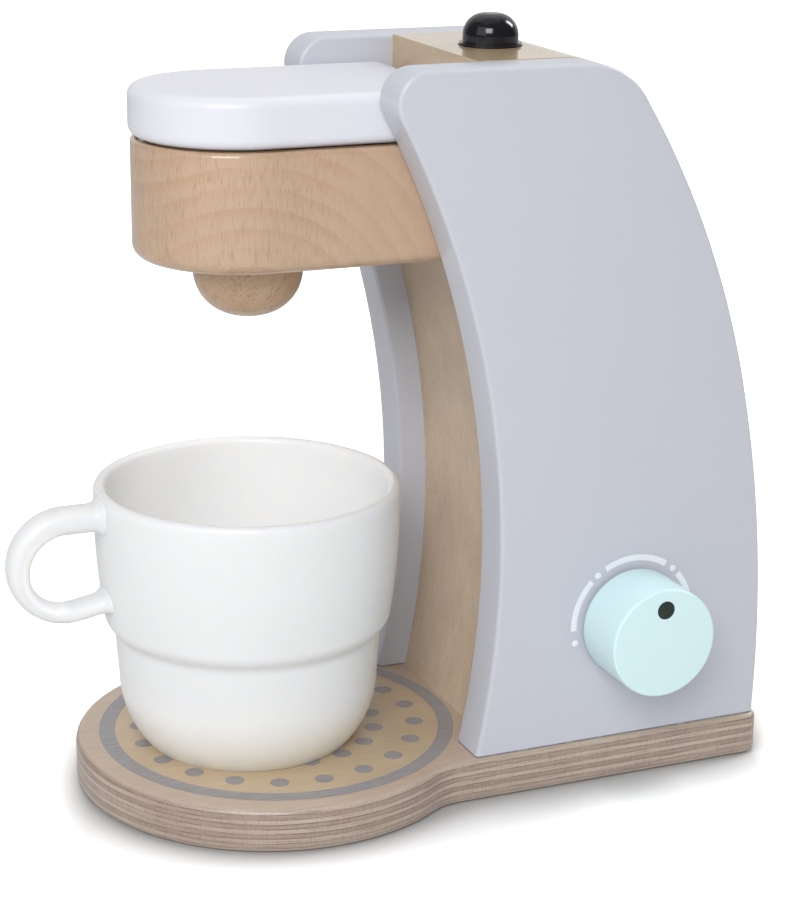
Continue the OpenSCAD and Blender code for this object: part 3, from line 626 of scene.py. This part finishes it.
outside, inside = cup_side(0), cup_side(CUP_WALL)
lip_c = (CUP_RADIUS - CUP_WALL / 2 - LIP_IN, CUP_HEIGHT - CUP_WALL / 2)
lip = arc(lip_c, CUP_WALL / 2, 0, 180, 12)[1:-1]
cup_section = [(0, FOOT_DEPTH), (FOOT_HOLLOW, FOOT_DEPTH), (FOOT_HOLLOW, 0)] + outside + lip
cup_section += inside[::-1] + [(0, CUP_WALL)]
print("cup section", len(cup_section), "points, foot", round(outside[0][0], 2),
      "lip", round(outside[-1][0], 2))

# %% [markdown]
# ## Turning a section into a skin
# A lathe, or a mould cut on one, makes the same section all the way round. The helper copies the
# section round the axis and joins neighbours with faces. Both ends lie on the axis, so the skin is
# closed.

# %% A helper that spins a section
def spin(section, steps):
    """A closed skin turned from a half section; the two ends lie on the axis."""
    made = bmesh.new()
    ends = [made.verts.new((0, 0, section[k][1])) for k in (0, -1)]
    turned = []
    for i in range(steps):
        c, s = math.cos(2 * math.pi * i / steps), math.sin(2 * math.pi * i / steps)
        turned.append([made.verts.new((r * s, -r * c, z)) for r, z in section[1:-1]])
    for i in range(steps):
        here, after = turned[i], turned[(i + 1) % steps]
        made.faces.new((ends[0], here[0], after[0]))
        made.faces.new((ends[1], after[-1], here[-1]))
        for k in range(len(here) - 1):
            made.faces.new((here[k], here[k + 1], after[k + 1], after[k]))
    bmesh.ops.recalc_face_normals(made, faces=made.faces)
    return made


# %% [markdown]
# ## The bow of the handle
# Seen from the side the handle is a band between two half circles, the hole's and the outer one's.
# It is written as pairs of points, one on the outer curve and one on the hole, from inside the
# wall, along the upper arm, round the bow and back along the lower arm. Near the wall each pair
# also asks for a little more thickness, which gives the handle its flared roots.

# %% The pairs of points along the bow
BOW_R, HOLE_R, HOLE_DROP, ARM_RISE = 15.6, 9.7, 1.2, 10.0
BOW_OUT, BOW_HEIGHT, BOW_WIDTH, BLEND = 50.1, 54.6, 9.0, 2.8
ROOT_STEPS = (-0.5, 0, 0.08, 0.18, 0.3, 0.45, 0.6, 0.8, 1)
BOW_STEPS = 40


def bow_pair(angle):
    """Outer and inner point of the bow at that angle, about its centre."""
    c, s = math.cos(math.radians(angle)), math.sin(math.radians(angle))
    return Vector((BOW_R * c, BOW_R * s)), Vector((HOLE_R * c, HOLE_R * s - HOLE_DROP))


def arm_pairs(angle, along):
    """Pairs from inside the wall down the arm; near the wall the arm widens."""
    outer, inner = bow_pair(angle)
    middle = (outer + inner) / 2
    length = (BOW_OUT - wall_at(BOW_HEIGHT + middle.y) - middle.x) / along.x
    pairs = []
    for f in ROOT_STEPS:
        by = along * (length - f * BLEND)
        pairs.append((outer + by, inner + by, BLEND * 0.45 * (1 - max(f, 0)) ** 2))
    return pairs


turn, rise = 180 + ARM_RISE, math.radians(ARM_RISE)
chain = arm_pairs(90, Vector((1, 0)))
chain += [(*bow_pair(90 + turn * i / BOW_STEPS), 0.0) for i in range(BOW_STEPS + 1)]
chain += arm_pairs(270 + ARM_RISE, Vector((math.cos(rise), math.sin(rise))))[::-1]
print("handle pairs", len(chain))

# %% [markdown]
# ## Sweeping the bow
# Round each pair of points a ring is drawn that is a little squarer than an oval, as a moulded
# handle is. Neighbouring rings are joined with faces, and the ends, deep in the wall, are closed.

# %% A helper that sweeps the bow
SQUARENESS = 0.8


def squarer(v):
    return math.copysign(abs(v) ** SQUARENESS, v)


def sweep(chain, sides):
    """A closed skin of rounded rings, one for each pair of the chain."""
    made = bmesh.new()
    rings = []
    for outer, inner, wider in chain:
        middle, half = (outer + inner) / 2, (outer - inner).length / 2
        up = (outer - inner).normalized()
        ring = []
        for k in range(sides):
            a = 2 * math.pi * k / sides
            p = middle + up * ((half + wider) * squarer(math.sin(a)))
            x = (BOW_WIDTH / 2 + wider) * squarer(math.cos(a))
            ring.append(made.verts.new((x, p.x - BOW_OUT, p.y + BOW_HEIGHT)))
        rings.append(ring)
    for here, after in zip(rings, rings[1:]):
        for k in range(sides):
            n = (k + 1) % sides
            made.faces.new((here[k], after[k], after[n], here[n]))
    made.faces.new(rings[0])
    made.faces.new(rings[-1][::-1])
    bmesh.ops.recalc_face_normals(made, faces=made.faces)
    return made


# %% [markdown]
# ## From skin to piece
# A skin becomes an object, is joined with or cut by other skins with a Boolean, and is then
# shaded: smooth all over, but crisp along edges over a limit. Last it rides on its body and stands
# for its solid. The count of open edges shows whether the skin is closed.

# %% Helpers that place, carve and settle a skin
SKIN_WELD = 0.003 * MM


def as_object(name, made, to_world, material):
    """Makes an object of a skin that is in millimetres, and sets it in its place."""
    bmesh.ops.transform(made, matrix=to_world @ Matrix.Scale(MM, 4), verts=made.verts)
    mesh = bpy.data.meshes.new(name)
    made.to_mesh(mesh)
    made.free()
    mesh.materials.append(material)
    piece = bpy.data.objects.new(name, mesh)
    scene.collection.objects.link(piece)
    return piece


def carve(piece, operation, others):
    """Joins or cuts with other closed skins, which are used up."""
    tools = bpy.data.collections.new("tools of " + piece.name)
    scene.collection.children.link(tools)
    for other in others:
        scene.collection.objects.unlink(other)
        tools.objects.link(other)
    step = piece.modifiers.new("carve", "BOOLEAN")
    step.operation, step.solver = operation, "EXACT"
    step.operand_type, step.collection = "COLLECTION", tools
    shown = piece.evaluated_get(bpy.context.evaluated_depsgraph_get())
    whole = bpy.data.meshes.new_from_object(shown)
    piece.modifiers.clear()
    piece.data = whole
    for other in others:
        bpy.data.objects.remove(other)
    bpy.data.collections.remove(tools)


def settle(piece, node, body, crisp=42):
    """Shades a finished skin, crisp over the limit in degrees, and lets it stand for the solid."""
    tidy = bmesh.new()
    tidy.from_mesh(piece.data)
    bmesh.ops.remove_doubles(tidy, verts=tidy.verts, dist=SKIN_WELD)
    for face in tidy.faces:
        face.smooth = True
    for side in tidy.edges:
        side.smooth = side.calc_face_angle(0) < math.radians(crisp)
    open_edges = sum(1 for side in tidy.edges if len(side.link_faces) != 2)
    tidy.to_mesh(piece.data)
    tidy.free()
    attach(piece, body)
    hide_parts(node)
    print(piece.name, "faces", len(piece.data.polygons), "open edges", open_edges)


# %% Mould the cup
on_disc = Matrix.Translation((0, CUP_AXIS_Y * MM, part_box("base_board")[1].z))
cup = as_object("moulded_cup", spin(cup_section, 160), on_disc, cup_plastic)
carve(cup, "UNION", [as_object("handle_form", sweep(chain, 32), on_disc, cup_plastic)])
settle(cup, "cup", "cup")

# %% [markdown]
# ## The knob
# The knob is turned from a rod: a plain cylinder with a small rounding at its face and a bore for
# its dowel behind. A shallow pocket in the face takes the black dot.

# %% Turn the knob
KNOB_RADIUS, KNOB_ROUND, BACK_ROUND, BORE_R, BORE_DEPTH = 15.1, 0.8, 0.4, 4.1, 10.8
DOT_PLAY, POCKET_LONG = 0.03, 3
SIDEWAYS = Matrix(((0, 0, 1), (1, 0, 0), (0, 1, 0))).to_4x4()


def on_plate_side(name):
    """The middle of the side of a node that faces the plate, with a turned piece's axis along X."""
    low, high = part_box(name)
    return Matrix.Translation((low.x, (low.y + high.y) / 2, (low.z + high.z) / 2)) @ SIDEWAYS


low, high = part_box("knob")
knob_long = (high.x - low.x) / MM
knob_section = [(0, BORE_DEPTH), (BORE_R, BORE_DEPTH), (BORE_R, 0)]
knob_section += arc((KNOB_RADIUS - BACK_ROUND, BACK_ROUND), BACK_ROUND, -90, 0, 4)
knob_section += arc((KNOB_RADIUS - KNOB_ROUND, knob_long - KNOB_ROUND), KNOB_ROUND, 0, 90, 8)
knob_section.append((0, knob_long))
knob = as_object("turned_knob", spin(knob_section, 120), on_plate_side("knob"), mint_paint)

low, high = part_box("knob_dot")
pocket_r = (high.y - low.y) / 2 / MM + DOT_PLAY
pocket = spin([(0, 0), (pocket_r, 0), (pocket_r, POCKET_LONG), (0, POCKET_LONG)], 64)
pocket = as_object("pocket_form", pocket, on_plate_side("knob_dot"), mint_paint)
carve(knob, "DIFFERENCE", [pocket])
settle(knob, "knob", "knob")

# %% [markdown]
# ## The side plates
# Each plate is sawn from a board along its curved outline and then run round with a small rounding
# cutter. The outline is read from the solid, drawn in a little for each step of the rounding, and
# the steps are joined into one skin.

# %% Read the outline of a plate
SOLID_ROUND, EDGE_ROUND, ROUND_STEPS = 2.5, 1.1, 5
ON = 0.01


def welded(name):
    """A copy of a solid in millimetres with its points joined, ready for cutting."""
    made = bmesh.new()
    made.from_mesh(nodes[name].data)
    bmesh.ops.remove_doubles(made, verts=made.verts, dist=WELD)
    bmesh.ops.transform(made, matrix=Matrix.Scale(1 / MM, 4), verts=made.verts)
    return made


def plate_outline(name, outer):
    """The widest outline of a plate in mm, from its front foot over the top to its rear foot."""
    made = welded(name)
    widest = abs(outer) - SOLID_ROUND
    on = {v for v in made.verts if abs(abs(v.co.x) - widest) < ON}
    foot = min(v.co.z for v in on)
    here = min((v for v in on if v.co.z < foot + ON), key=lambda v: v.co.y)
    path = [here]
    while True:
        grounded = here.co.z < foot + ON
        others = [e.other_vert(here) for e in here.link_edges]
        after = [v for v in others if v in on and v not in path
                 and not (grounded and v.co.z < foot + ON)]
        if not after:
            break
        here = after[0]
        path.append(here)
    points = [Vector((v.co.y, v.co.z)) for v in path]
    made.free()
    return points


# %% Draw the outline in and build the board
def right_of(along):
    return Vector((along.y, -along.x))


def drawn_in(points, by):
    """The outline moved inwards; its two feet stay on the ground line."""
    moved = []
    for i, p in enumerate(points):
        before, after = points[max(i - 1, 0)], points[min(i + 1, len(points) - 1)]
        inward = right_of((after - before).normalized())
        if i in (0, len(points) - 1):
            moved.append(p + Vector((by / inward.x, 0)))
        else:
            corner = max(inward.dot(right_of((after - p).normalized())), 0.5)
            moved.append(p + inward * (by / corner))
    return moved


def round_plate(name, material):
    """The whole board with rounded edges, before its grooves and holes are cut."""
    low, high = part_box(name)
    inner, outer = sorted((low.x / MM, high.x / MM), key=abs)
    way = math.copysign(1, outer)
    points = plate_outline(name, outer)
    turns = [math.pi / 2 * i / ROUND_STEPS for i in range(ROUND_STEPS + 1)]
    quarter = [(EDGE_ROUND * (1 - math.sin(a)), EDGE_ROUND * (1 - math.cos(a))) for a in turns]
    levels = [(inner + way * up, by) for by, up in quarter]
    levels += [(outer - way * up, by) for by, up in quarter[::-1]]
    made = bmesh.new()
    loops = [[made.verts.new((x, p.x, p.y)) for p in drawn_in(points, by)] for x, by in levels]
    for here, after in zip(loops, loops[1:]):
        for k in range(len(points)):
            n = (k + 1) % len(points)
            made.faces.new((here[k], here[n], after[n], after[k]))
    made.faces.new(loops[0])
    made.faces.new(loops[-1][::-1])
    bmesh.ops.recalc_face_normals(made, faces=made.faces)
    print(name, "outline", len(points), "points, board", round(abs(outer - inner), 2), "mm")
    return as_object("round_" + name, made, Matrix(), material)


# %% [markdown]
# ## Grooves and holes
# The grooves and holes of a plate are cut by the very pieces that sit in them, so everything fits.
# Only the knob's dowel turns in its hole, so its form is made a little thicker for the cut.

# %% Saw, round and cut the plates
SEATED = ("front_panel", "back_panel", "arm_dowels", "lid_hinge_pins", "knob_axle", "base_screws")
AXLE_CENTRE, AXLE_PLAY = Vector((0, 0.0502, 0.0454)), 1.025
thicker = (Matrix.Translation(AXLE_CENTRE) @ Matrix.Diagonal((1, AXLE_PLAY, AXLE_PLAY, 1))
           @ Matrix.Translation(-AXLE_CENTRE))


def cutter(name):
    """The form of a seated piece, ready to cut its own hole or groove."""
    to_world = thicker if name == "knob_axle" else Matrix()
    return as_object(name + "_form", welded(name), to_world, grey_paint)


for name in ("side_plate_left", "side_plate_right"):
    plate = round_plate(name, grey_paint)
    carve(plate, "DIFFERENCE", [cutter(piece) for piece in SEATED])
    settle(plate, name, "frame", crisp=35)

# %% [markdown]
# ## Printing
# A ring and two circles of dots are printed on the base, and a white scale stands round the knob.
# Screen ink is a real layer a few hundredths of a millimetre thick, so each print is a thin mesh
# that lies on the wood. A mesh keeps its edge crisp at any distance.

# %% Mix the inks
def ink(name, colour, rough, streak):
    """Screen ink: the colour thins out by a share, streak, where the squeegee left less."""
    material, w = new_material(name)
    thin = w.noise(w.stretch(place(w), (2.0, 0.14, 2.0)), 4.0, 0.6)
    darker, lighter = (shaded(colour, 3 * [1 + k * streak]) for k in (-1, 1))
    finish_material(w, w.add("BsdfPrincipled", {
        "Base Color": w.blend(w.span(thin, 0.35, 0.72), darker, lighter),
        "Roughness": w.span(thin, 0.3, 0.7, rough - 0.05, rough + 0.05),
        "Coat Weight": 0.2, "Coat Roughness": 0.25}))
    print("ink", name)
    return material


grey_ink = ink("grey screen ink", (0.32, 0.305, 0.315), 0.5, 0.13)
white_ink = ink("white screen ink", (0.84, 0.86, 0.93), 0.45, 0.03)

# %% Helpers that draw flat shapes and lay them down
INK, INK_WELD = 0.03 * MM, 0.0004 * MM


def arc_strip(r0, r1, start, stop, steps):
    """Quads of a curved bar between two radii, from start to stop in degrees."""
    inner, outer = (arc((0, 0), r, start, stop, steps) for r in (r0, r1))
    return [(inner[i], outer[i], outer[i + 1], inner[i + 1]) for i in range(steps)]


def dot(radius, angle, size, steps=32):
    """One round dot as a single polygon."""
    centre = arc((0, 0), radius, angle, angle, 1)[0]
    return [arc(centre, size, 0, 360, steps)[:-1]]


def printed(name, outlines, to_world, material):
    """Closed flat outlines (x, y in mm) laid on the wood and thickened to one layer of ink."""
    made = bmesh.new()
    for quad in (quad for strip in outlines for quad in strip):
        low, high = ([made.verts.new(to_world @ Vector((x * MM, y * MM, z))) for x, y in quad]
                     for z in (0, INK))
        made.faces.new(high)
        made.faces.new(low[::-1])
        for i in range(len(quad)):
            j = (i + 1) % len(quad)
            made.faces.new((low[i], low[j], high[j], high[i]))
    bmesh.ops.remove_doubles(made, verts=made.verts, dist=INK_WELD)
    out_of_wood = to_world.col[2].xyz
    walls = [f for f in made.faces if abs(f.normal.dot(out_of_wood)) < 0.5]
    shared = [f for f in walls if sum(1 for e in f.edges if len(e.link_faces) > 2) > 1]
    bmesh.ops.delete(made, geom=shared, context="FACES_ONLY")
    bmesh.ops.recalc_face_normals(made, faces=made.faces)
    mesh = bpy.data.meshes.new(name)
    made.to_mesh(mesh)
    made.free()
    mesh.materials.append(material)
    piece = bpy.data.objects.new(name, mesh)
    scene.collection.objects.link(piece)
    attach(piece, "frame")
    print("printed", name, "faces", len(mesh.polygons))


# %% [markdown]
# ## What is printed
# The base has a ring with twenty dots inside it and seventeen further in. The scale round the knob
# is one bar over the top and one at each side, with a small dot beyond each end of a side bar.

# %% Print the base
RING = (44.5, 48.8)
DOT_CIRCLES = ((20, 38.0, -0.9), (17, 26.8, -0.5))
DOT_SIZE = 2.55
PRINT_MIDDLE = (-0.7 * MM, -36.9 * MM)
on_base = Matrix.Translation((*PRINT_MIDDLE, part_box("base_board")[1].z))
printed("printed_ring", [arc_strip(*RING, 0, 360, 160)], on_base, grey_ink)
dots = [dot(radius, 360 / count * i + start, DOT_SIZE)
        for count, radius, start in DOT_CIRCLES for i in range(count)]
printed("printed_dots", dots, on_base, grey_ink)

# %% Print the scale
BAR, MARK_R, MARK_SIZE, UP = (16.8, 18.5), 17.7, 0.9, 88
TOP_BAR, SIDE_BAR, MARKS = 31, (47.6, 95.6), (-107, -40, 40, 107)
SCALE_MIDDLE = (50.4 * MM, 45.6 * MM)
plate_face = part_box("side_plate_right")[1].x
on_plate = Matrix.Translation((plate_face, *SCALE_MIDDLE)) @ SIDEWAYS
bars = [arc_strip(*BAR, UP - TOP_BAR, UP + TOP_BAR, 32),
        arc_strip(*BAR, UP + SIDE_BAR[0], UP + SIDE_BAR[1], 24),
        arc_strip(*BAR, UP - SIDE_BAR[1], UP - SIDE_BAR[0], 24)]
marks = [dot(MARK_R, UP + a, MARK_SIZE, 24) for a in MARKS]
printed("printed_scale", bars + marks, on_plate, white_ink)

# %% [markdown]
# ## A white studio
# Product shots are lit from all sides. A pale world fills every shadow. Polished surfaces see it
# darker than it is, except behind the toy, where a bright wall would stand: that gives the button
# and the lacquer their contrast.

# %% Hang the world
WALL_WAY = (-0.874, 0.378, 0.305)
FILL, WHITE = 0.47, 1.0
world = bpy.data.worlds.new("white studio")
scene.world = world
world.use_nodes = True
world.node_tree.nodes.clear()
w = Wiring(world.node_tree)
rays = w.add("LightPath", {}).node.outputs
background = w.math("MAXIMUM", rays["Is Camera Ray"], rays["Is Transmission Ray"])
way = w.add("TexCoord", {}, "Generated")
mirrored = w.span(w.vector("DOT_PRODUCT", way, WALL_WAY, out="Value"), 0.30, 0.93, 0.04, 0.80)
level = w.add("Mix", {0: rays["Is Glossy Ray"], 2: FILL, 3: mirrored}, 0)
level = w.add("Mix", {0: background, 2: level, 3: WHITE}, 0)
w.add("OutputWorld", {"Surface": w.add("Background", {"Color": (1, 1, 1, 1), "Strength": level})})
print("world fill", FILL)

# %% [markdown]
# ## The floor
# The floor is white paper. The camera sees it brighter than the light on it, so it melts into the
# background, and the real contact shadow under the toy is deepened by a shadow painted into the
# paper from ambient occlusion: the nearer a piece, the darker the paper. At the two ends of the
# toy, where light comes in from the side, the painted shadow is weaker. All other rays see plain
# paper, so it throws its real light up at the toy.

# %% Lay the floor
FLOOR_REACH, FLOOR_DROP, SHADOW_REACH = 2.0, 0.2 * MM, 32 * MM
SIDE_WAY = (-0.397, -0.918, 0)
SHADOW_POWER, END_POWER, DARKEST = 1.72, -1.4, 0.32
NEAR, FAR, NEAR_TONE, FAR_TONE = 200.0, 900.0, 1.45, 2.4
floor_mesh = bpy.data.meshes.new("studio_floor")
floor_shape = bmesh.new()
bmesh.ops.create_grid(floor_shape, x_segments=8, y_segments=8, size=FLOOR_REACH)
floor_shape.to_mesh(floor_mesh)
floor_shape.free()
floor = bpy.data.objects.new("studio_floor", floor_mesh)
floor.location.z = -FLOOR_DROP
scene.collection.objects.link(floor)

paper, w = new_material("white paper")
# A painted contact shadow: the paper colour the camera sees darkens with ambient occlusion.
painted_contact_shade = w.add("AmbientOcclusion", {"Distance": SHADOW_REACH}, "AO", samples=24)
away = w.vector("LENGTH", w.stretch(place(w), (1, 1, 0)), out="Value")
sideways = w.vector("DOT_PRODUCT", place(w), SIDE_WAY, out="Value")
ends = w.math("MAXIMUM", w.span(sideways, 80.0, 97.0), w.span(sideways, -99.0, -112.0))
power = w.math("MULTIPLY_ADD", ends, END_POWER, SHADOW_POWER)
seen = w.math("MAXIMUM", w.math("POWER", painted_contact_shade, power), DARKEST)
seen = w.times(seen, w.span(away, NEAR, FAR, NEAR_TONE, FAR_TONE))
seen = w.add("CombineColor", {k: seen for k in range(3)})
tooth = w.noise(place(w), 2.0, scale=0.8)
sheet = w.blend(w.span(tooth, 0.3, 0.7), (0.73, 0.73, 0.73, 1), (0.75, 0.75, 0.75, 1))
camera_ray = w.add("LightPath", {}, "Is Camera Ray")
finish_material(w, w.add("BsdfDiffuse", {"Color": w.blend(camera_ray, sheet, seen)}))
floor_mesh.materials.append(paper)
print("floor", paper.name)

# %% [markdown]
# ## The softboxes
# Four softboxes shape the toy. The key hangs close to the camera and a little higher: it lights
# the side plate and throws the soft shadow under the knob. A weak one overhead lifts the tops, a
# large sheet at the camera's left fills the fronts, and a small window behind at the right lights
# the rear edges.

# %% Hang the softboxes
AIM_AT = Vector((0, 0, 0.09))


def softbox(name, direction, distance, size, level):
    """level is how bright a white sheet facing the lamp would get from it alone."""
    aim = Vector(direction).normalized()
    lamp = bpy.data.lights.new(name, "AREA")
    lamp.shape = "RECTANGLE"
    lamp.size, lamp.size_y = size
    lamp.energy = level * math.pi ** 2 * distance ** 2
    hung = bpy.data.objects.new(name, lamp)
    turned = aim.to_track_quat("Z", "Y").to_matrix().to_4x4()
    hung.matrix_world = Matrix.Translation(aim * distance + AIM_AT) @ turned
    scene.collection.objects.link(hung)
    print("softbox", name, round(lamp.energy, 1), "W")


softbox("key", (0.72, -0.42, 0.55), 1.3, (0.55, 0.55), 0.50)
softbox("overhead", (-0.15, 0.0, 0.98), 0.95, (0.9, 0.9), 0.11)
softbox("left sheet", (0.42, -0.82, 0.50), 1.2, (0.9, 0.9), 0.17)
softbox("right window", (-0.10, 0.80, 0.59), 1.3, (0.3, 0.5), 0.35)
